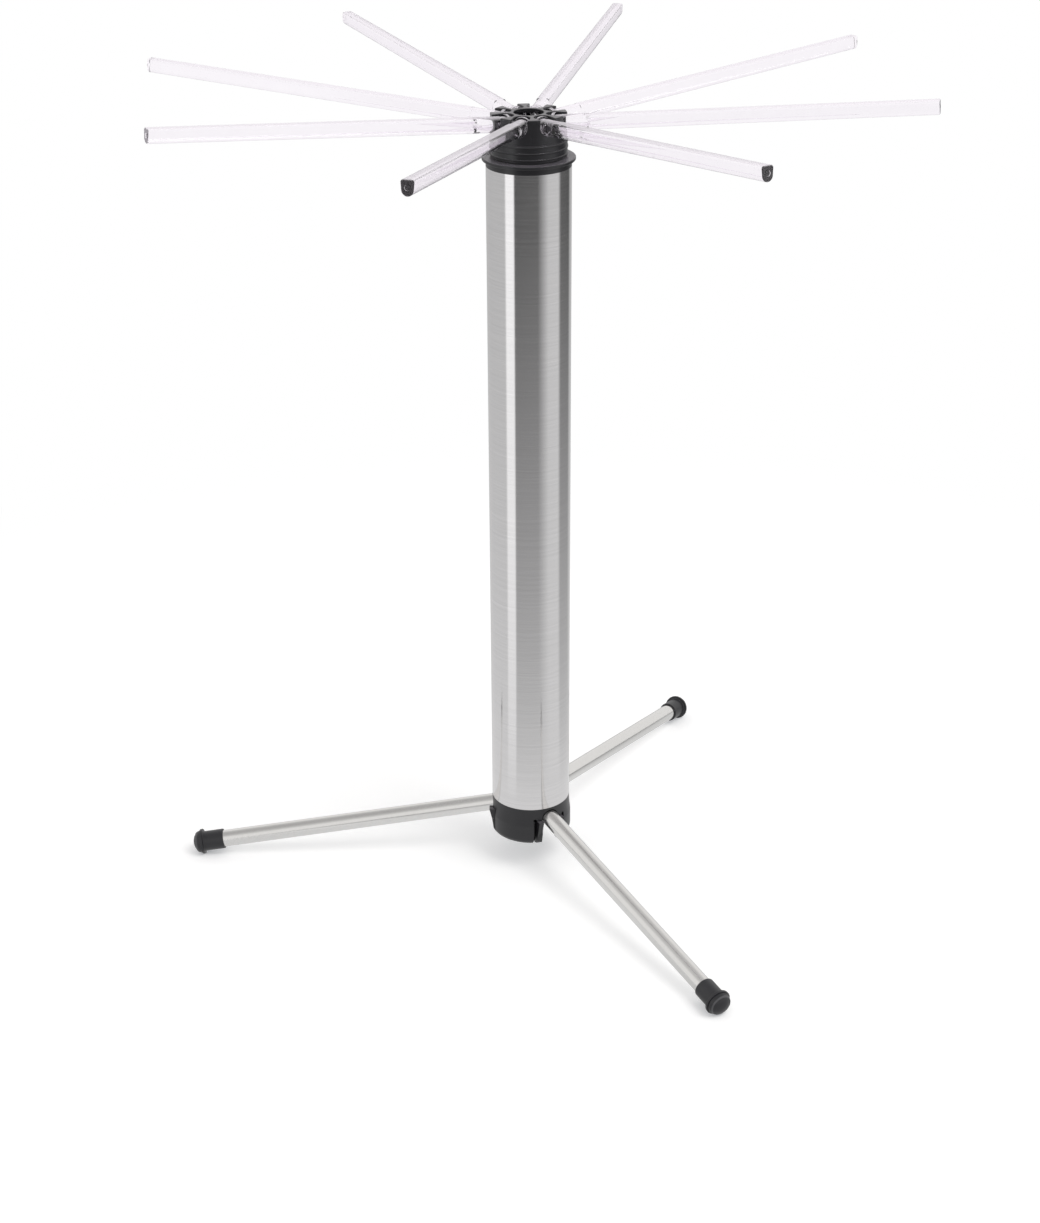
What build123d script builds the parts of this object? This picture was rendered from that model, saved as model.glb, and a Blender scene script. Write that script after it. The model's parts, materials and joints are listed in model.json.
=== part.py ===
from build123d import *
from math import asin, atan2, cos, degrees, hypot, pi, radians, sin, tan
import os

# A collapsible pasta drying rack: a steel tube with eight swing-out arms at the top and three at the bottom.
# The origin is on the tube's axis at the ground, +Z is up, and one arm points along +X. Millimetres.

os.makedirs("parts", exist_ok=True)

# Gaps and cuts
overrun = 1.0
fit_gap = 0.1
swing_gap = 0.25
slide_gap = 0.2

# Body tube
tube_d = 50.0
tube_wall = 0.7
tube_length = 415.0
tube_rise = 44.2

# Arms
arm_count = 8
arm_slope = radians(5.5)
arm_length = 218.0
arm_rod_d = 9.2
arm_neck_d = 8.9
arm_neck_end = 4.6
arm_rod_end = 20.5
arm_rod_taper = 2.5
arm_rod_taper_drop = 0.8
arm_flange_d = 11.5
arm_flange_length = 2.2
arm_flange_round = 0.5
arm_boss_d = 8.2
arm_boss_length = 1.0
arm_root_width = 8.0
arm_root_height = 8.9
arm_tip_width = 7.4
arm_tip_height = 8.3
arm_top_share = 0.47
arm_belly_share = 0.88
arm_corner_round = 1.4
arm_tip_chamfer = 0.4
arm_gate_d = 3.0
arm_gate_depth = 0.4

# Hub
hub_rise = 30.7
petal_d = 44.3
petal_height = 14.5
petal_round = 0.7
crown_chamfer = 0.3
collar_d = 44.9
collar_height = 9.8
groove_d = 43.0
groove_height = 1.0
hub_flange_reach = 2.3
hub_flange_height = 2.0
hub_flange_round = 0.6
hub_bore_d = 40.6
hub_spigot_length = 12.0
hub_spigot_wall = 1.5
centre_hole_d = 17.5
centre_lip_d = 20.0
centre_lip_height = 0.9
plate_thickness = 1.7
arm_pivot_drop = 5.3

# Base cap
cap_height = 25.7
cap_swell_reach = 0.9
cap_swell_drop = 12.0
cap_corner_round = 4.2
cap_lip_d = 41.8
cap_lip_height = 3.0
cap_spigot_length = 12.0
cap_plate_thickness = 1.7
cap_plate_drop = 4.2
finger_width = 3.4
finger_drop = 8.4
finger_rise = 1.1
finger_fall = 2.0
finger_root = 2.4
finger_relief = 1.0
finger_round = 0.6
slit_width = 2.2
slit_drop = 7.0
guard_gap = 1.9
guard_wall = 1.5
guard_lift = 1.0
guard_channel_gap = 0.5

# Legs
leg_count = 3
leg_turn = -45.0
leg_d = 11.0
leg_wall = 0.7
leg_pivot_r = 15.8
leg_pivot_drop = 6.3
leg_reach = 202.0
leg_flange_d = 13.6
leg_flange_length = 2.2
leg_flange_round = 0.5
leg_boss_d = 9.4
leg_boss_length = 1.0
leg_plug_length = 12.0

# Feet
foot_sleeve_d = 13.0
foot_sleeve_length = 13.5
foot_neck_round = 0.9
foot_rim_d = 16.4
foot_rim_length = 1.7
foot_dome_d = 14.8
foot_dome_length = 5.3
foot_flat_depth = 0.25
foot_sleeve_round = 0.5
foot_rim_round = 0.3

# Divider between the stored arms and the stored legs
divider_drop = 222.0
divider_thickness = 1.6
divider_skirt_length = 8.0
divider_skirt_wall = 1.4

# Places worked out from the sizes above
tube_r = tube_d / 2
tube_bore_r = tube_r - tube_wall
tube_top = tube_rise + tube_length
spigot_r = tube_bore_r - fit_gap
hub_top = tube_top + hub_rise
cap_bottom = tube_rise - cap_height

# Arm pivots: the stored arms stand side by side, so the flange and the gap between two set the ring
arm_step = 2 * pi / arm_count
arm_pivot_r = (arm_flange_d + swing_gap) / (2 * sin(arm_step / 2))
arm_pivot_z = hub_top - arm_pivot_drop
arm_slot_width = arm_rod_d + 2 * swing_gap
plate_bottom = hub_top - plate_thickness
hub_bore_r = hub_bore_d / 2
petal_r = petal_d / 2
petal_foot = hub_top - petal_height

# Leg pivots: the slope follows from the pivot's height, the reach and the foot that stands on the ground
leg_pivot_z = tube_rise - leg_pivot_drop
foot_low_r = foot_rim_d / 2
leg_slope = asin((leg_pivot_z + foot_flat_depth) / hypot(leg_reach, foot_low_r)) - atan2(foot_low_r, leg_reach)
leg_slot_width = leg_d + 2 * swing_gap
cap_bore_r = leg_pivot_r + leg_flange_d / 2 + swing_gap
cap_plate_top = leg_pivot_z - cap_plate_drop
cap_plate_bottom = cap_plate_top - cap_plate_thickness
slit_offset = leg_slot_width / 2 + finger_width + slit_width / 2
finger_zone = slit_offset + slit_width / 2


def upright_face(turn):
    """The upright plane through the tube's axis that faces the direction turned by this many degrees from +X."""
    facing = Vector(1, 0, 0).rotate(Axis.Z, turn)
    return Plane(origin=(0, 0, 0), x_dir=(-facing.Y, facing.X, 0), z_dir=(facing.X, facing.Y, 0))


def side_face(turn):
    """The upright plane that holds the tube's axis and the direction turned by this many degrees from +X."""
    facing = Vector(1, 0, 0).rotate(Axis.Z, turn)
    return Plane(origin=(0, 0, 0), x_dir=(facing.X, facing.Y, 0), z_dir=(facing.Y, -facing.X, 0))


def mouth_slot(half_width, top, mouth):
    """The outline of a slot with an arched top and a mouth that is rounded off at its lower end."""
    corner = half_width + finger_round
    with BuildLine() as outline:
        side = Line((half_width, top - half_width), (half_width, mouth + finger_round))
        turn = RadiusArc(side @ 1, (corner, mouth), finger_round)
        drop = Line(turn @ 1, (corner, mouth - overrun))
        floor = Line(drop @ 1, (-corner, mouth - overrun))
        rise = Line(floor @ 1, (-corner, mouth))
        back = RadiusArc(rise @ 1, (-half_width, mouth + finger_round), finger_round)
        far = Line(back @ 1, (-half_width, top - half_width))
        ThreePointArc(far @ 1, (0, top), side @ 0)
    return outline.line


# Body tube, open at both ends
with BuildPart() as tube:
    with BuildSketch(Plane.XY.offset(tube_rise)):
        Circle(tube_r)
        Circle(tube_bore_r, mode=Mode.SUBTRACT)
    extrude(amount=tube_length)

# Hub: petals between the arm slots, a collar for a cap, a flange, a band and a spigot in the tube
collar_foot = petal_foot - collar_height
hub_flange_top = collar_foot - groove_height
hub_flange_bottom = hub_flange_top - hub_flange_height
hub_spigot_foot = tube_top - hub_spigot_length
with BuildPart() as hub:
    with BuildSketch(Plane.XZ):
        with BuildLine():
            Polyline(
                (centre_hole_d / 2, hub_top),
                (petal_r, hub_top),
                (petal_r, petal_foot),
                (collar_d / 2, petal_foot),
                (collar_d / 2, collar_foot),
                (groove_d / 2, collar_foot),
                (groove_d / 2, hub_flange_top),
                (tube_r + hub_flange_reach, hub_flange_top),
                (tube_r + hub_flange_reach, hub_flange_bottom),
                (tube_r, hub_flange_bottom),
                (tube_r, tube_top),
                (spigot_r, tube_top),
                (spigot_r, hub_spigot_foot),
                (spigot_r - hub_spigot_wall, hub_spigot_foot),
                (spigot_r - hub_spigot_wall, tube_top),
                (hub_bore_r, hub_flange_bottom),
                (hub_bore_r, plate_bottom),
                (centre_lip_d / 2, plate_bottom),
                (centre_lip_d / 2, plate_bottom - centre_lip_height),
                (centre_hole_d / 2, plate_bottom - centre_lip_height),
                close=True,
            )
        make_face()
    revolve(axis=Axis.Z)
    rims = hub.edges().filter_by(GeomType.CIRCLE)
    fillet(rims.filter_by(lambda rim: rim.radius > tube_r + hub_flange_round), hub_flange_round)
    crown = hub.edges().filter_by(GeomType.CIRCLE).filter_by_position(Axis.Z, hub_top, hub_top)
    fillet(crown.sort_by(SortBy.RADIUS)[-1], petal_round)
    # Each arm's slot: straight walls with a round inner end through the plate, and a round seat in the wall
    with BuildSketch(Plane.XY.offset(arm_pivot_z)):
        with PolarLocations(arm_pivot_r, arm_count):
            Circle(arm_slot_width / 2)
            Rectangle(petal_r, arm_slot_width, align=(Align.MIN, Align.CENTER))
    extrude(amount=arm_pivot_drop + overrun, mode=Mode.SUBTRACT)
    seat_z = arm_pivot_z + (hub_bore_r - arm_pivot_r) * tan(arm_slope)
    for arm_number in range(arm_count):
        with BuildSketch(upright_face(360 / arm_count * arm_number).offset(arm_pivot_r)):
            with Locations((0, seat_z)):
                Circle(arm_slot_width / 2)
        extrude(amount=petal_r, mode=Mode.SUBTRACT)
    # Grooves down the inside, where the arms' flanges slide into the tube
    with BuildSketch(Plane.XY.offset(hub_spigot_foot - overrun)):
        with PolarLocations(arm_pivot_r, arm_count):
            Circle(arm_flange_d / 2 + slide_gap)
    extrude(amount=arm_pivot_z - hub_spigot_foot + overrun, mode=Mode.SUBTRACT)
    # The crown's upper edges are softened where the slots open
    crown_face = hub.faces().filter_by(Axis.Z).sort_by(Axis.Z)[-1]
    chamfer(crown_face.edges(), crown_chamfer)


def arm_section(plane, width, height):
    """A flat top, upright sides that draw in a little and a round underside, about the arm's axis."""
    top = height * arm_top_share
    belly_r = width / 2 * arm_belly_share
    belly_z = top - height + belly_r
    with BuildSketch(plane) as section:
        with BuildLine():
            crown = Line((-width / 2, top), (width / 2, top))
            side = Line(crown @ 1, (belly_r, belly_z))
            belly = ThreePointArc(side @ 1, (0, belly_z - belly_r), (-belly_r, belly_z))
            Line(belly @ 1, crown @ 0)
        make_face()
        fillet(section.vertices().group_by(Axis.Y)[-1], arm_corner_round)
    return section.sketch


# Arm, drawn once along +X at its slope
arm_axis = Plane(
    origin=(arm_pivot_r, 0, arm_pivot_z),
    x_dir=(cos(arm_slope), 0, sin(arm_slope)),
    z_dir=(0, -1, 0),
)
arm_across = Plane(origin=arm_axis.origin, x_dir=(0, 1, 0), z_dir=arm_axis.x_dir)
arm_body_start = arm_rod_end - arm_rod_taper
with BuildPart() as arm:
    with BuildSketch(arm_axis):
        with BuildLine():
            Polyline(
                (-arm_flange_length / 2 - arm_boss_length, 0),
                (-arm_flange_length / 2 - arm_boss_length, arm_boss_d / 2),
                (-arm_flange_length / 2, arm_boss_d / 2),
                (-arm_flange_length / 2, arm_flange_d / 2),
                (arm_flange_length / 2, arm_flange_d / 2),
                (arm_flange_length / 2, arm_neck_d / 2),
                (arm_neck_end, arm_neck_d / 2),
                (arm_neck_end, arm_rod_d / 2),
                (arm_body_start, arm_rod_d / 2),
                (arm_rod_end, arm_rod_d / 2 - arm_rod_taper_drop),
                (arm_rod_end, 0),
                close=True,
            )
        make_face()
    revolve(axis=Axis(arm_axis.origin, arm_axis.x_dir))
    arm_rims = arm.edges().filter_by(GeomType.CIRCLE).sort_by(SortBy.RADIUS)[-2:]
    fillet(arm_rims, arm_flange_round)
    root = arm_section(arm_across.offset(arm_body_start), arm_root_width, arm_root_height)
    end = arm_section(arm_across.offset(arm_length), arm_tip_width, arm_tip_height)
    loft(sections=[root, end], ruled=True)
    tip = arm.faces().sort_by(Axis(arm_axis.origin, arm_axis.x_dir))[-1]
    chamfer(tip.edges(), arm_tip_chamfer)
    with BuildSketch(arm_across.offset(arm_length)):
        Circle(arm_gate_d / 2)
    extrude(amount=-arm_gate_depth, mode=Mode.SUBTRACT)

# Base cap: a swelling skirt with a notch for each leg, a plate that the legs hang from and a spigot in the tube
cap_swell_z = tube_rise - cap_swell_drop
cap_swell_r = tube_r + cap_swell_reach
relief_turn = degrees(asin(finger_zone / cap_bore_r))
relief_arc = CenterArc((0, 0), cap_bore_r - finger_relief / 2, -relief_turn, 2 * relief_turn)
finger_top = tube_rise - finger_drop
finger_top_r = cap_swell_r + finger_rise
finger_low_r = cap_swell_r - finger_fall
finger_outside = [
    (finger_top_r, finger_top),
    (finger_low_r, cap_bottom),
    (finger_low_r, cap_bottom - overrun),
    (finger_top_r + overrun, cap_bottom - overrun),
    (finger_top_r + overrun, finger_top),
]
finger_wedge = [
    (finger_top_r, finger_top),
    (cap_swell_r - finger_root, finger_top),
    (cap_swell_r - finger_root, cap_bottom + cap_corner_round),
    (finger_low_r, cap_bottom + cap_corner_round),
]
guard_r = cap_bore_r - guard_gap
guard_channel = foot_sleeve_d + 2 * guard_channel_gap
with BuildPart() as base_cap:
    with BuildSketch(Plane.XZ):
        with BuildLine():
            edge = Line((spigot_r, tube_rise), (tube_r, tube_rise))
            swell = TangentArc(edge @ 1, (cap_swell_r, cap_swell_z), tangent=(0, -1))
            skirt = Line(swell @ 1, (cap_swell_r, cap_bottom + cap_corner_round))
            corner = RadiusArc(skirt @ 1, (cap_swell_r - cap_corner_round, cap_bottom), cap_corner_round)
            Polyline(
                corner @ 1,
                (cap_lip_d / 2, cap_bottom),
                (cap_bore_r, cap_bottom + cap_lip_height),
                (cap_bore_r, tube_rise + cap_spigot_length),
                (spigot_r, tube_rise + cap_spigot_length),
                edge @ 0,
            )
        make_face()
    revolve(axis=Axis.Z)
    # Beside each notch the skirt is cut back and built out to a finger with a slanted outer face
    for leg_number in range(leg_count):
        for side in (-1, 1):
            finger_face = side_face(leg_turn + 360 / leg_count * leg_number).offset(side * leg_slot_width / 2)
            with BuildSketch(finger_face):
                Polygon(*finger_outside, align=None)
            extrude(amount=side * finger_width, mode=Mode.SUBTRACT)
            with BuildSketch(finger_face):
                Polygon(*finger_wedge, align=None)
            extrude(amount=side * finger_width)
    arch_z = leg_pivot_z - (cap_bore_r - leg_pivot_r) * tan(leg_slope)
    for leg_number in range(leg_count):
        leg_face = upright_face(leg_turn + 360 / leg_count * leg_number).offset(leg_pivot_r)
        with BuildSketch(leg_face):
            add(make_face(mouth_slot(leg_slot_width / 2, arch_z + leg_slot_width / 2, cap_bottom), mode=Mode.PRIVATE))
            with Locations((-slit_offset, 0), (slit_offset, 0)):
                add(make_face(mouth_slot(slit_width / 2, tube_rise - slit_drop, cap_bottom), mode=Mode.PRIVATE))
        extrude(amount=cap_swell_r, mode=Mode.SUBTRACT)
    with BuildSketch(Plane.XY.offset(cap_plate_bottom)):
        Circle(cap_bore_r)
        with PolarLocations(0, leg_count, start_angle=leg_turn):
            with Locations((leg_pivot_r, 0)):
                Circle(leg_slot_width / 2, mode=Mode.SUBTRACT)
                Rectangle(cap_bore_r, leg_slot_width, align=(Align.MIN, Align.CENTER), mode=Mode.SUBTRACT)
    extrude(amount=cap_plate_thickness)
    # Guard walls behind the fingers hang from the plate, open where the legs swing
    with BuildSketch(Plane.XY.offset(cap_plate_bottom)):
        Circle(guard_r)
        Circle(guard_r - guard_wall, mode=Mode.SUBTRACT)
        with PolarLocations(0, leg_count, start_angle=leg_turn):
            Rectangle(cap_bore_r, guard_channel, align=(Align.MIN, Align.CENTER), mode=Mode.SUBTRACT)
    extrude(amount=cap_bottom + guard_lift - cap_plate_bottom)
    # The plate stands clear of the spring fingers beside each notch
    with BuildSketch(Plane.XY.offset(cap_plate_bottom - overrun)):
        with PolarLocations(0, leg_count, start_angle=leg_turn):
            SlotArc(relief_arc, finger_relief)
    extrude(amount=cap_plate_thickness + 2 * overrun, mode=Mode.SUBTRACT)

# Leg parts, drawn once along +X at their slope
leg_axis = Plane(
    origin=(leg_pivot_r, 0, leg_pivot_z),
    x_dir=(cos(leg_slope), 0, -sin(leg_slope)),
    z_dir=(0, -1, 0),
)
leg_line = Axis(leg_axis.origin, leg_axis.x_dir)
leg_across = Plane(origin=leg_axis.origin, x_dir=(0, 1, 0), z_dir=leg_axis.x_dir)
leg_tube_start = leg_flange_length / 2
leg_bore_r = leg_d / 2 - leg_wall
with BuildPart() as leg_tube:
    with BuildSketch(leg_across.offset(leg_tube_start)):
        Circle(leg_d / 2)
        Circle(leg_bore_r, mode=Mode.SUBTRACT)
    extrude(amount=leg_reach - leg_tube_start)

with BuildPart() as leg_plug:
    with BuildSketch(leg_axis):
        with BuildLine():
            Polyline(
                (-leg_flange_length / 2 - leg_boss_length, 0),
                (-leg_flange_length / 2 - leg_boss_length, leg_boss_d / 2),
                (-leg_flange_length / 2, leg_boss_d / 2),
                (-leg_flange_length / 2, leg_flange_d / 2),
                (leg_tube_start, leg_flange_d / 2),
                (leg_tube_start, leg_bore_r - fit_gap),
                (leg_tube_start + leg_plug_length, leg_bore_r - fit_gap),
                (leg_tube_start + leg_plug_length, 0),
                close=True,
            )
        make_face()
    revolve(axis=leg_line)
    plug_rims = leg_plug.edges().filter_by(GeomType.CIRCLE).sort_by(SortBy.RADIUS)[-2:]
    fillet(plug_rims, leg_flange_round)

# Foot: a sleeve over the leg's end and a domed end with a rim, flattened where it stands
with BuildPart() as foot:
    with BuildSketch(leg_axis):
        with BuildLine():
            sleeve = Polyline(
                (leg_reach, 0),
                (leg_reach, leg_d / 2 + fit_gap),
                (leg_reach - foot_sleeve_length, leg_d / 2 + fit_gap),
                (leg_reach - foot_sleeve_length, foot_sleeve_d / 2),
                (leg_reach - foot_neck_round, foot_sleeve_d / 2),
            )
            neck = TangentArc(sleeve @ 1, (leg_reach, foot_sleeve_d / 2 + foot_neck_round), tangent=(1, 0))
            Polyline(
                neck @ 1,
                (leg_reach, foot_rim_d / 2),
                (leg_reach + foot_rim_length, foot_rim_d / 2),
                (leg_reach + foot_rim_length, foot_dome_d / 2),
            )
            dome = EllipticalCenterArc((leg_reach + foot_rim_length, 0), foot_dome_length, foot_dome_d / 2)
            Line(dome @ 0, sleeve @ 0)
        make_face()
    revolve(axis=leg_line)
    foot_rims = foot.edges().filter_by(GeomType.CIRCLE).sort_by(SortBy.RADIUS)[-2:]
    fillet(foot_rims, foot_rim_round)
    sleeve_end = foot.edges().filter_by(GeomType.CIRCLE).group_by(leg_line)[0]
    fillet(sleeve_end.sort_by(SortBy.RADIUS)[-1], foot_sleeve_round)
    split(bisect_by=Plane.XY, keep=Keep.TOP)

# Divider: a disc with a skirt, pressed into the tube
with BuildPart() as divider:
    divider_top = hub_top - divider_drop
    with BuildSketch(Plane.XY.offset(divider_top)):
        Circle(spigot_r)
    extrude(amount=-divider_thickness)
    with BuildSketch(Plane.XY.offset(divider_top)):
        Circle(spigot_r)
        Circle(spigot_r - divider_skirt_wall, mode=Mode.SUBTRACT)
    extrude(amount=-divider_skirt_length)


def write(name, piece, turn=0):
    """Turns a finished piece about the tube's axis, labels it and writes it."""
    placed = Rotation(0, 0, turn) * piece.part
    placed.label = name
    export_step(placed, f"parts/{name}.step")


write("tube", tube)
write("hub", hub)
write("base_cap", base_cap)
write("divider", divider)
for number in range(arm_count):
    write(f"arm_{number + 1}", arm, 360 / arm_count * number)
for number in range(leg_count):
    leg_angle = leg_turn + 360 / leg_count * number
    write(f"leg_tube_{number + 1}", leg_tube, leg_angle)
    write(f"leg_plug_{number + 1}", leg_plug, leg_angle)
    write(f"foot_{number + 1}", foot, leg_angle)
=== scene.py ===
import json
from math import cos, log, pi, radians, sin, sqrt

import bmesh
import bpy
from mathutils import Matrix, Vector


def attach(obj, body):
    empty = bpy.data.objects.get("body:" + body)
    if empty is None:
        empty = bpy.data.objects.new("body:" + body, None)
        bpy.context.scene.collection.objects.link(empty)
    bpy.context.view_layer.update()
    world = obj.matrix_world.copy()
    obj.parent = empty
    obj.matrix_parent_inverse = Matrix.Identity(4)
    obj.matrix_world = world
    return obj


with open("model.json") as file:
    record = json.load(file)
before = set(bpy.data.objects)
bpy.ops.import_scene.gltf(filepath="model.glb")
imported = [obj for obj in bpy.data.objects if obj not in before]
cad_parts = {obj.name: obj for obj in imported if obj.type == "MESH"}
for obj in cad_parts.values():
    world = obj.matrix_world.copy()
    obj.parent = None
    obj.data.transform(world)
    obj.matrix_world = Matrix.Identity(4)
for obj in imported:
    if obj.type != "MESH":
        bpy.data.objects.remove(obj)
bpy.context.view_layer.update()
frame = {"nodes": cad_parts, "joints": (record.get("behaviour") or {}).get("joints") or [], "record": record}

MM = 0.001
LOG_BASE = 10
UP = Vector((0, 0, 1))
NOISE_DETAIL = 3
NOISE_ROUGHNESS = 0.6

# The photograph's camera, found from the tube's edges, the arm tips and the feet
IMAGE_HEIGHT_PX = 1223
FOCAL_PX = 2323
CAMERA_TURN = radians(14.9)
CAMERA_SIDE = -6.4 * MM
CAMERA_DISTANCE = 1325.0 * MM
CAMERA_HEIGHT = 796.6 * MM
CAMERA_PITCH = radians(25.17)
CAMERA_ROLL = radians(-0.295)
CLIP_END = 50

# Brushed steel: fine lines round the tube over broader, fainter ones
STEEL_DARK = (0.735, 0.725, 0.73)
STEEL_LIGHT = (0.87, 0.858, 0.862)
STEEL_ROUGHNESS = (0.08, 0.18)
STEEL_ANISOTROPY = 0.6
QUARTER_TURN_SHARE = 0.25
FINE_LINES = (30, 30, 4200)
BROAD_LINES = (7, 7, 650)
BROAD_LINES_SHARE = 0.25
LINE_CONTRAST = (0.3, 0.7)
STEEL_LINE_STRENGTH = 0.06
STEEL_LINE_DEPTH = 0.02 * MM

# Satin steel of the legs: a finer, even grain
LEG_DARK = (0.79, 0.78, 0.765)
LEG_LIGHT = (0.85, 0.845, 0.835)
LEG_ROUGHNESS = (0.13, 0.2)
LEG_GRAIN = 420

# Black mouldings and rubber: base colour, roughness, grain and sheen of the surface
PLASTIC_DARK = (0.008, 0.008, 0.01)
PLASTIC_LIGHT = (0.014, 0.0135, 0.017)
PLASTIC_ROUGHNESS = (0.28, 0.38)
PLASTIC_GRAIN = 2600
PLASTIC_GRAIN_STRENGTH = 0.12
PLASTIC_SPECULAR = 0.62
RUBBER_DARK = (0.008, 0.008, 0.011)
RUBBER_LIGHT = (0.015, 0.015, 0.019)
RUBBER_ROUGHNESS = (0.3, 0.44)
RUBBER_GRAIN = 1800
RUBBER_GRAIN_STRENGTH = 0.2
RUBBER_SPECULAR = 0.62
# The foot rings' rubber, paler than the rest: a painted highlight on the rings
RING_PAINTED_HIGHLIGHT_DARK = (0.05, 0.05, 0.055)
RING_PAINTED_HIGHLIGHT_LIGHT = (0.08, 0.08, 0.088)
# Faces that look up in the frame are paler, a painted sheen, by how far up their normal points
TOP_FROM = 0.6
TOP_TO = 0.97
PLASTIC_PAINTED_TOP_SHEEN = (0.11, 0.103, 0.116)
RUBBER_PAINTED_TOP_SHEEN = (0.02, 0.02, 0.024)
GRAIN_DEPTH = 0.05 * MM
PATCH_SHARE = 1 / 30

# Clear plastic of the arms: a faint lilac tint with a painted shade that darkens it at the rims, clearer
# where it is seen aslant, and a little pearly on its flat tops
CLEAR_DARK = (0.92, 0.885, 0.93)
CLEAR_LIGHT = (0.975, 0.95, 0.98)
CLEAR_PAINTED_RIM_SHADE = (0.42, 0.4, 0.44)
CLEAR_FLOW = 140
CLEAR_ROUGHNESS = (0.015, 0.05)
CLEAR_RIM_FROM = 0.74
CLEAR_RIM_TO = 0.98
CLEAR_IOR = 1.49
CLEAR_SHADOW = (0.9, 0.88, 0.91, 1)
ASLANT_FROM = 0.35
ASLANT_TO = 0.62
STRAIGHT_THROUGH = (0.06, 0.34)
# A bend is counted in whole numbers, so light below this count has not bent yet
UNBENT_BELOW = 0.5
CLEAR_TOP = (0.93, 0.89, 0.95, 1)
CLEAR_TOP_SHARE = 0.5

# Studio
FLOOR_SIZE = 30
FLOOR_PAINT = (0.9, 0.9, 0.9, 1)
SHADED_TABLE = (0.95, 0.94, 0.925, 1)
TABLE_LIFT = (0.25, 0.26, 0.275, 1)
WHITE = (1, 1, 1, 1)
SHADOW_REACH = 0.3
WHITE_REACH = 0.75
# Mirrored in metal, the table is pale near the object and gives way to the studio further off
NEAR_TABLE = 0.11
FAR_TABLE = 1.7
TABLE_LEVEL = 0.75
# How bright that studio is, by the direction round the tube in degrees
SURROUND_STOPS = [
    (-180, 0.56),
    (-143, 0.56),
    (-140, 1.12),
    (-117, 1.12),
    (-114, 0.1),
    (-52, 0.12),
    (-22, 0.64),
    (10, 0.66),
    (19, 0.12),
    (59, 0.1),
    (66, 0.5),
    (180, 0.56),
]
# How bright it is by height: bright walls, and a greyer ceiling that the legs mirror as their mid line
SKY_STRENGTH = 0.85
SKY_TINT_SHARE = 0.99
SKY_STOPS = [
    (0.0, 1.0),
    (0.6, 1.0),
    (0.86, 0.62),
    (1.0, 0.5),
]
KEY_PLACE = (1.2, -0.8, 2.4)
KEY_AIM = (0, 0, 0.2)
KEY_SIZE = 1.4
KEY_WATTS = 22

# Ridges that the solids leave out: the collar's shallow thread and the ring on each foot's dome
HUB_TOP = 489.9 * MM
COLLAR_R = 22.45 * MM
THREAD_DROPS = (15.6 * MM, 19.3 * MM, 23.0 * MM)
THREAD_WIDTH = 1.3 * MM
THREAD_RISE = 0.35 * MM
FOOT_RIM_END = 203.7 * MM
DOME_R = 7.4 * MM
DOME_LENGTH = 5.3 * MM
DOME_RING_R = 6.4 * MM
DOME_RING_WIDTH = 0.9 * MM
DOME_RING_RISE = 0.35 * MM
RIDGE_ROOT = 0.06 * MM
CREST_SHARE = 0.5
RIDGE_STEPS = 96


def make_camera():
    """A camera at the photograph's viewing angle, turned about the tube's axis."""
    data = bpy.data.cameras.new("photo_camera")
    data.sensor_fit = "AUTO"
    data.lens = data.sensor_width * FOCAL_PX / IMAGE_HEIGHT_PX
    data.clip_end = CLIP_END
    camera = bpy.data.objects.new("photo_camera", data)
    bpy.context.scene.collection.objects.link(camera)
    camera.location = photo_side(CAMERA_SIDE, -CAMERA_DISTANCE, CAMERA_HEIGHT)
    turned = Matrix.Rotation(CAMERA_TURN, 3, "Z") @ Matrix.Rotation(pi / 2 - CAMERA_PITCH, 3, "X")
    camera.rotation_euler = (turned @ Matrix.Rotation(CAMERA_ROLL, 3, "Z")).to_euler()
    bpy.context.scene.camera = camera


def photo_side(x, y, z):
    """A place to the photograph's right, away from its camera and up, turned into the frame."""
    place = Vector((x, y, z))
    place.rotate(Matrix.Rotation(CAMERA_TURN, 3, "Z"))
    return place


# Node helpers

def new_material(name):
    """A material with its node tree and its Principled shader."""
    material = bpy.data.materials.new(name)
    material.use_nodes = True
    tree = material.node_tree
    return material, tree, tree.nodes["Principled BSDF"]


def link(tree, source, target):
    """Joins an output to an input."""
    tree.links.new(source, target)


def stretched_noise(tree, scale_xyz):
    """Noise over the object's own coordinates, finer along some axes than along others."""
    place = tree.nodes.new("ShaderNodeTexCoord")
    stretch = tree.nodes.new("ShaderNodeMapping")
    stretch.inputs["Scale"].default_value = scale_xyz
    noise = tree.nodes.new("ShaderNodeTexNoise")
    noise.inputs["Scale"].default_value = 1
    noise.inputs["Detail"].default_value = NOISE_DETAIL
    noise.inputs["Roughness"].default_value = NOISE_ROUGHNESS
    link(tree, place.outputs["Object"], stretch.inputs["Vector"])
    link(tree, stretch.outputs["Vector"], noise.inputs["Vector"])
    return noise.outputs["Fac"]


def looking_up(tree):
    """How far a face looks up in the frame, as 0..1."""
    parts = tree.nodes.new("ShaderNodeSeparateXYZ")
    link(tree, tree.nodes.new("ShaderNodeTexCoord").outputs["Normal"], parts.inputs["Vector"])
    return share_between(tree, parts.outputs["Z"], TOP_FROM, TOP_TO)


def spread(tree, source, limits):
    """Maps 0..1 to the limits."""
    node = tree.nodes.new("ShaderNodeMapRange")
    node.inputs["To Min"].default_value = limits[0]
    node.inputs["To Max"].default_value = limits[1]
    link(tree, source, node.inputs["Value"])
    return node.outputs["Result"]


def share_between(tree, source, low, high, smooth=True):
    """How far a value has come from low to high, as 0..1."""
    node = tree.nodes.new("ShaderNodeMapRange")
    node.interpolation_type = "SMOOTHSTEP" if smooth else "LINEAR"
    node.inputs["From Min"].default_value = low
    node.inputs["From Max"].default_value = high
    link(tree, source, node.inputs["Value"])
    return node.outputs["Result"]


def math_of(tree, operation, *values):
    """One Math node, each of its values a socket or a plain number."""
    node = tree.nodes.new("ShaderNodeMath")
    node.operation = operation
    for socket, value in zip(node.inputs, values):
        if isinstance(value, (int, float)):
            socket.default_value = value
        else:
            link(tree, value, socket)
    return node.outputs["Value"]


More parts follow.
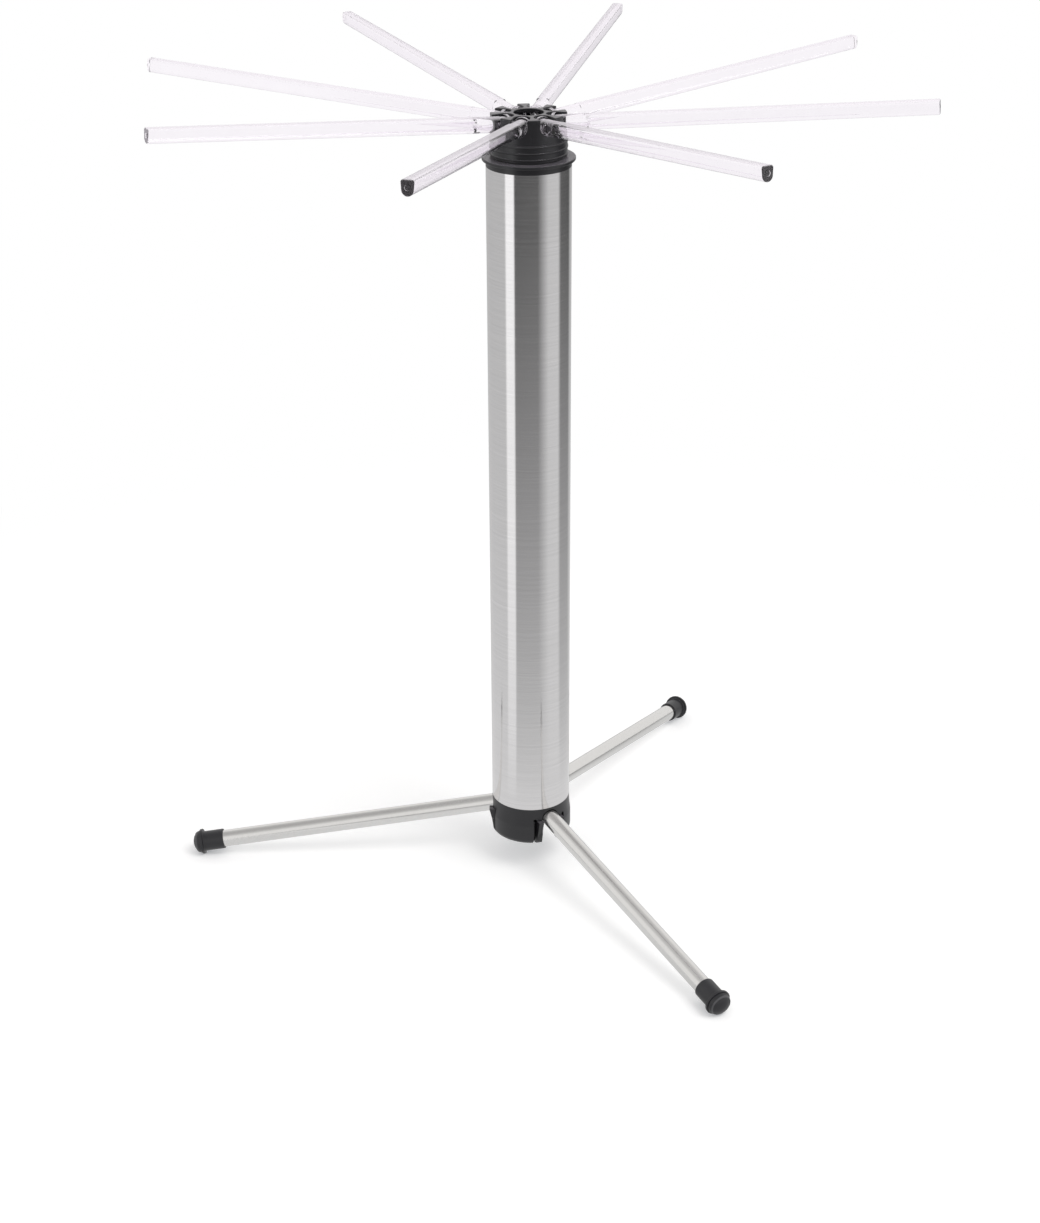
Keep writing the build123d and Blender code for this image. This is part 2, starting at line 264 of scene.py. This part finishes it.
def ramp(tree, source, stops):
    """Colours by a value, through stops of a place and a colour."""
    node = tree.nodes.new("ShaderNodeValToRGB")
    elements = node.color_ramp.elements
    for index, (where, colour) in enumerate(stops):
        element = elements[index] if index < len(elements) else elements.new(where)
        element.position = where
        element.color = (*colour, 1)
    link(tree, source, node.inputs["Fac"])
    return node.outputs["Color"]


def mixed_value(tree, first, second, second_share):
    """Two values in one, by the share of the second."""
    node = tree.nodes.new("ShaderNodeMix")
    node.inputs["Factor"].default_value = second_share
    link(tree, first, node.inputs["A"])
    link(tree, second, node.inputs["B"])
    return node.outputs["Result"]


def mixed_colour(tree, share, first, second):
    """A colour that goes from the first to the second, each a socket or a plain colour."""
    node = tree.nodes.new("ShaderNodeMixRGB")
    link(tree, share, node.inputs["Fac"])
    for name, colour in (("Color1", first), ("Color2", second)):
        if isinstance(colour, tuple):
            node.inputs[name].default_value = (*colour, 1)
        else:
            link(tree, colour, node.inputs[name])
    return node.outputs["Color"]


def mixed_shader(tree, share, first, second):
    """A shader that goes from the first to the second."""
    node = tree.nodes.new("ShaderNodeMixShader")
    link(tree, share, node.inputs["Fac"])
    link(tree, first, node.inputs[1])
    link(tree, second, node.inputs[2])
    return node.outputs["Shader"]


def bump(tree, source, shader, strength, distance):
    """Fine relief on a shader, from a value."""
    node = tree.nodes.new("ShaderNodeBump")
    node.inputs["Strength"].default_value = strength
    node.inputs["Distance"].default_value = distance
    link(tree, source, node.inputs["Height"])
    link(tree, node.outputs["Normal"], shader.inputs["Normal"])


# Materials

def brushed_steel(name):
    """Stainless steel with fine lines round the tube."""
    material, tree, shader = new_material(name)
    fine = stretched_noise(tree, FINE_LINES)
    broad = stretched_noise(tree, BROAD_LINES)
    both = mixed_value(tree, fine, broad, BROAD_LINES_SHARE)
    lines = share_between(tree, both, *LINE_CONTRAST, smooth=False)
    link(tree, ramp(tree, lines, [(0, STEEL_DARK), (1, STEEL_LIGHT)]), shader.inputs["Base Color"])
    link(tree, spread(tree, lines, STEEL_ROUGHNESS), shader.inputs["Roughness"])
    shader.inputs["Metallic"].default_value = 1
    shader.inputs["Anisotropic"].default_value = STEEL_ANISOTROPY
    shader.inputs["Anisotropic Rotation"].default_value = QUARTER_TURN_SHARE
    tangent = tree.nodes.new("ShaderNodeTangent")
    tangent.direction_type = "RADIAL"
    tangent.axis = "Z"
    link(tree, tangent.outputs["Tangent"], shader.inputs["Tangent"])
    bump(tree, fine, shader, STEEL_LINE_STRENGTH, STEEL_LINE_DEPTH)
    return material


def satin_steel(name):
    """The legs' stainless steel, with an even satin grain."""
    material, tree, shader = new_material(name)
    grain = stretched_noise(tree, (LEG_GRAIN,) * 3)
    link(tree, ramp(tree, grain, [(0, LEG_DARK), (1, LEG_LIGHT)]), shader.inputs["Base Color"])
    link(tree, spread(tree, grain, LEG_ROUGHNESS), shader.inputs["Roughness"])
    shader.inputs["Metallic"].default_value = 1
    return material


def moulded_black(name, dark, light, top, roughness, grain_scale, grain_strength, specular):
    """Satin black moulding with a fine grain, faint patches of sheen, and a painted sheen that makes faces
    looking up paler.
    """
    material, tree, shader = new_material(name)
    grain = stretched_noise(tree, (grain_scale,) * 3)
    patches = stretched_noise(tree, (grain_scale * PATCH_SHARE,) * 3)
    body = ramp(tree, patches, [(0, dark), (1, light)])
    # The paler colour on faces that look up is a painted sheen
    link(tree, mixed_colour(tree, looking_up(tree), body, top), shader.inputs["Base Color"])
    link(tree, spread(tree, patches, roughness), shader.inputs["Roughness"])
    shader.inputs["Specular IOR Level"].default_value = specular
    bump(tree, grain, shader, grain_strength, GRAIN_DEPTH)
    return material


def clear_plastic(name):
    """Clear moulded plastic with a faint lilac tint, which casts only a faint shadow."""
    material, tree, shader = new_material(name)
    flow = stretched_noise(tree, (CLEAR_FLOW,) * 3)
    tint = ramp(tree, flow, [(0, CLEAR_DARK), (1, CLEAR_LIGHT)])
    facing = tree.nodes.new("ShaderNodeLayerWeight").outputs["Facing"]
    # Painted shade: the colour darkens at the rims, where the surface is seen aslant
    grazing = share_between(tree, facing, CLEAR_RIM_FROM, CLEAR_RIM_TO)
    colour = mixed_colour(tree, grazing, tint, CLEAR_PAINTED_RIM_SHADE)
    link(tree, colour, shader.inputs["Base Color"])
    link(tree, spread(tree, flow, CLEAR_ROUGHNESS), shader.inputs["Roughness"])
    shader.inputs["Transmission Weight"].default_value = 1
    shader.inputs["IOR"].default_value = CLEAR_IOR
    straight = tree.nodes.new("ShaderNodeBsdfTransparent")
    link(tree, colour, straight.inputs["Color"])
    aslant = share_between(tree, facing, ASLANT_FROM, ASLANT_TO)
    # Light that goes straight in also goes straight out, and light that has bent never does
    leaving = tree.nodes.new("ShaderNodeNewGeometry").outputs["Backfacing"]
    share = math_of(tree, "MAXIMUM", spread(tree, aslant, STRAIGHT_THROUGH), leaving)
    path = tree.nodes.new("ShaderNodeLightPath")
    unbent = math_of(tree, "LESS_THAN", path.outputs["Transmission Depth"], UNBENT_BELOW)
    share = math_of(tree, "MULTIPLY", share, unbent)
    seen = mixed_shader(tree, share, shader.outputs["BSDF"], straight.outputs["BSDF"])
    # The flat tops are a little pearly, where light comes in from outside
    pearl = tree.nodes.new("ShaderNodeBsdfDiffuse")
    pearl.inputs["Color"].default_value = CLEAR_TOP
    entering = math_of(tree, "MAXIMUM", math_of(tree, "SUBTRACT", unbent, leaving), 0)
    pearl_share = math_of(tree, "MULTIPLY", entering, CLEAR_TOP_SHARE)
    pearl_share = math_of(tree, "MULTIPLY", looking_up(tree), pearl_share)
    seen = mixed_shader(tree, pearl_share, seen, pearl.outputs["BSDF"])
    faint = tree.nodes.new("ShaderNodeBsdfTransparent")
    faint.inputs["Color"].default_value = CLEAR_SHADOW
    surface = mixed_shader(tree, path.outputs["Is Shadow Ray"], seen, faint.outputs["BSDF"])
    link(tree, surface, tree.nodes["Material Output"].inputs["Surface"])
    return material


black = moulded_black("satin_black_plastic", PLASTIC_DARK, PLASTIC_LIGHT, PLASTIC_PAINTED_TOP_SHEEN, PLASTIC_ROUGHNESS,
                      PLASTIC_GRAIN, PLASTIC_GRAIN_STRENGTH, PLASTIC_SPECULAR)
rubber = moulded_black("black_rubber", RUBBER_DARK, RUBBER_LIGHT, RUBBER_PAINTED_TOP_SHEEN, RUBBER_ROUGHNESS,
                       RUBBER_GRAIN, RUBBER_GRAIN_STRENGTH, RUBBER_SPECULAR)
# Paler rubber for the foot rings, as a painted highlight
ring_painted_highlight = moulded_black("rubber_ring_painted_highlight", RING_PAINTED_HIGHLIGHT_DARK, RING_PAINTED_HIGHLIGHT_LIGHT, RING_PAINTED_HIGHLIGHT_LIGHT, PLASTIC_ROUGHNESS,
                              RUBBER_GRAIN, RUBBER_GRAIN_STRENGTH, RUBBER_SPECULAR)
SLOT_MATERIALS = {
    "steel": brushed_steel("brushed_steel"),
    "leg_steel": satin_steel("satin_leg_steel"),
    "black_plastic": black,
    "clear_plastic": clear_plastic("clear_plastic"),
    "black_rubber": rubber,
}


def dress_frame():
    """Gives every CAD node the material of its slot."""
    for entry in frame["record"]["subparts"]:
        node = frame["nodes"][entry["node"]]
        node.data.materials.clear()
        node.data.materials.append(SLOT_MATERIALS[entry["material_slot"]])


# Studio: a pale floor, a soft key light and a plain surround

def mirrored_studio(tree, place, distance):
    """What metal mirrors in place of the floor: a pale table near the object, and the studio beyond."""
    parts = tree.nodes.new("ShaderNodeSeparateXYZ")
    link(tree, place, parts.inputs["Vector"])
    turn = math_of(tree, "ARCTAN2", parts.outputs["Y"], parts.outputs["X"])
    round_share = share_between(tree, turn, -pi, pi, smooth=False)
    stops = []
    for degrees_round, level in SURROUND_STOPS:
        stops.append(((radians(degrees_round) + pi) / (2 * pi), (level,) * 3))
    surround = ramp(tree, round_share, stops)
    powers = math_of(tree, "LOGARITHM", distance, LOG_BASE)
    far = share_between(tree, powers, log(NEAR_TABLE, LOG_BASE), log(FAR_TABLE, LOG_BASE), smooth=False)
    glow = tree.nodes.new("ShaderNodeEmission")
    link(tree, mixed_colour(tree, far, (TABLE_LEVEL,) * 3, surround), glow.inputs["Color"])
    return glow.outputs["Emission"]


def make_floor():
    """A wide white floor that keeps the object's shadow near it and is plain white further off."""
    material = bpy.data.materials.new("pale_floor")
    material.use_nodes = True
    tree = material.node_tree
    tree.nodes.clear()
    paint = tree.nodes.new("ShaderNodeBsdfDiffuse")
    paint.inputs["Color"].default_value = FLOOR_PAINT
    white = tree.nodes.new("ShaderNodeEmission")
    white.inputs["Color"].default_value = WHITE
    shaded = tree.nodes.new("ShaderNodeBsdfDiffuse")
    shaded.inputs["Color"].default_value = SHADED_TABLE
    lift = tree.nodes.new("ShaderNodeEmission")
    lift.inputs["Color"].default_value = TABLE_LIFT
    near = tree.nodes.new("ShaderNodeAddShader")
    link(tree, shaded.outputs["BSDF"], near.inputs[0])
    link(tree, lift.outputs["Emission"], near.inputs[1])

    place = tree.nodes.new("ShaderNodeTexCoord").outputs["Object"]
    distance = tree.nodes.new("ShaderNodeVectorMath")
    distance.operation = "LENGTH"
    link(tree, place, distance.inputs[0])
    edge = share_between(tree, distance.outputs["Value"], SHADOW_REACH, WHITE_REACH)
    seen = mixed_shader(tree, edge, near.outputs["Shader"], white.outputs["Emission"])
    mirrored = mirrored_studio(tree, place, distance.outputs["Value"])

    path = tree.nodes.new("ShaderNodeLightPath")
    surface = mixed_shader(tree, path.outputs["Is Camera Ray"], paint.outputs["BSDF"], seen)
    surface = mixed_shader(tree, path.outputs["Is Glossy Ray"], surface, mirrored)
    surface = mixed_shader(tree, path.outputs["Is Transmission Ray"], surface, seen)
    output = tree.nodes.new("ShaderNodeOutputMaterial")
    link(tree, surface, output.inputs["Surface"])

    half = FLOOR_SIZE / 2
    mesh = bpy.data.meshes.new("floor")
    corners = [(-half, -half, 0), (half, -half, 0), (half, half, 0), (-half, half, 0)]
    mesh.from_pydata(corners, [], [(0, 1, 2, 3)])
    mesh.materials.append(material)
    floor = bpy.data.objects.new("floor", mesh)
    bpy.context.scene.collection.objects.link(floor)


def make_world():
    """A plain bright surround, white where the camera sees it."""
    world = bpy.data.worlds.new("studio")
    bpy.context.scene.world = world
    world.use_nodes = True
    tree = world.node_tree
    tree.nodes.clear()
    parts = tree.nodes.new("ShaderNodeSeparateXYZ")
    link(tree, tree.nodes.new("ShaderNodeTexCoord").outputs["Generated"], parts.inputs["Vector"])
    tint = Vector((1, SKY_TINT_SHARE, SKY_TINT_SHARE ** 2))
    stops = [(height_share, tuple(tint * level)) for height_share, level in SKY_STOPS]
    fill = tree.nodes.new("ShaderNodeBackground")
    link(tree, ramp(tree, parts.outputs["Z"], stops), fill.inputs["Color"])
    fill.inputs["Strength"].default_value = SKY_STRENGTH
    white = tree.nodes.new("ShaderNodeBackground")
    white.inputs["Color"].default_value = WHITE
    path = tree.nodes.new("ShaderNodeLightPath")
    either = math_of(tree, "MAXIMUM", path.outputs["Is Camera Ray"], path.outputs["Is Transmission Ray"])
    surface = mixed_shader(tree, either, fill.outputs["Background"], white.outputs["Background"])
    output = tree.nodes.new("ShaderNodeOutputWorld")
    link(tree, surface, output.inputs["Surface"])


def make_key_light():
    """One large soft light, which the metal doesn't mirror as a hard spot."""
    data = bpy.data.lights.new("key", "AREA")
    data.size = KEY_SIZE
    data.energy = KEY_WATTS
    lamp = bpy.data.objects.new("key", data)
    lamp.location = photo_side(*KEY_PLACE)
    lamp.rotation_mode = "QUATERNION"
    lamp.rotation_quaternion = (Vector(KEY_AIM) - lamp.location).to_track_quat("-Z", "Y")
    lamp.visible_glossy = False
    bpy.context.scene.collection.objects.link(lamp)


# Moulded ridges that ride on the CAD's pieces

def make_ridges(name, rings, material, body):
    """Rounded ridges, each given by its centre, its axis, its radius and the outline that goes round."""
    ridges = bmesh.new()
    for centre, axis, radius, outline in rings:
        turned = axis.to_track_quat("Z", "Y")
        rows = []
        for step in range(RIDGE_STEPS):
            turn = 2 * pi * step / RIDGE_STEPS
            row = []
            for along, out in outline:
                r = radius + out
                place = Vector((r * cos(turn), r * sin(turn), along))
                row.append(ridges.verts.new(centre + turned @ place))
            rows.append(row)
        for here, after in zip(rows, rows[1:] + rows[:1]):
            for side in range(len(outline) - 1):
                ridges.faces.new((here[side], after[side], after[side + 1], here[side + 1]))
    mesh = bpy.data.meshes.new(name)
    ridges.to_mesh(mesh)
    ridges.free()
    mesh.materials.append(material)
    for face in mesh.polygons:
        face.use_smooth = True
    piece = bpy.data.objects.new(name, mesh)
    bpy.context.scene.collection.objects.link(piece)
    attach(piece, body)


def ridge_outline(width, rise):
    """Places across a ridge and heights over its surface, from one sunken foot to the other."""
    shares_and_heights = ((-1, -RIDGE_ROOT), (-CREST_SHARE, rise), (CREST_SHARE, rise), (1, -RIDGE_ROOT))
    return [(share * width / 2, height) for share, height in shares_and_heights]


def make_thread():
    """Ridges round the hub's collar, which a cap would screw on to."""
    outline = ridge_outline(THREAD_WIDTH, THREAD_RISE)
    rings = [(Vector((0, 0, HUB_TOP - drop)), UP, COLLAR_R, outline) for drop in THREAD_DROPS]
    make_ridges("hub_thread", rings, black, "rack_body")


def dome_height(r):
    """How far a foot's dome stands beyond its rim, by the distance from its axis."""
    return DOME_LENGTH * sqrt(1 - (r / DOME_R) ** 2)


def make_foot_rings():
    """A low ring moulded on the domed end of each foot."""
    ring_height = dome_height(DOME_RING_R)
    outline = []
    for out, height in ridge_outline(DOME_RING_WIDTH, DOME_RING_RISE):
        outline.append((dome_height(DOME_RING_R + out) - ring_height + height, out))
    for joint in frame["joints"]:
        number = joint["name"].split("_")[1]
        if joint["name"] != f"leg_{number}_swing":
            continue
        pivot = Vector(joint["pos_m"])
        points = frame["nodes"][f"leg_tube_{number}"].data.vertices
        middle = sum((point.co for point in points), Vector()) / len(points)
        axis = (middle - pivot).normalized()
        ring = (pivot + axis * (FOOT_RIM_END + ring_height), axis, DOME_RING_R, outline)
        # The ring's paler rubber is a painted highlight
        make_ridges(f"foot_ring_{number}", [ring], ring_painted_highlight, f"leg_{number}")


make_camera()
dress_frame()
make_thread()
make_foot_rings()
make_floor()
make_world()
make_key_light()

bpy.context.scene.view_settings.view_transform = "Standard"
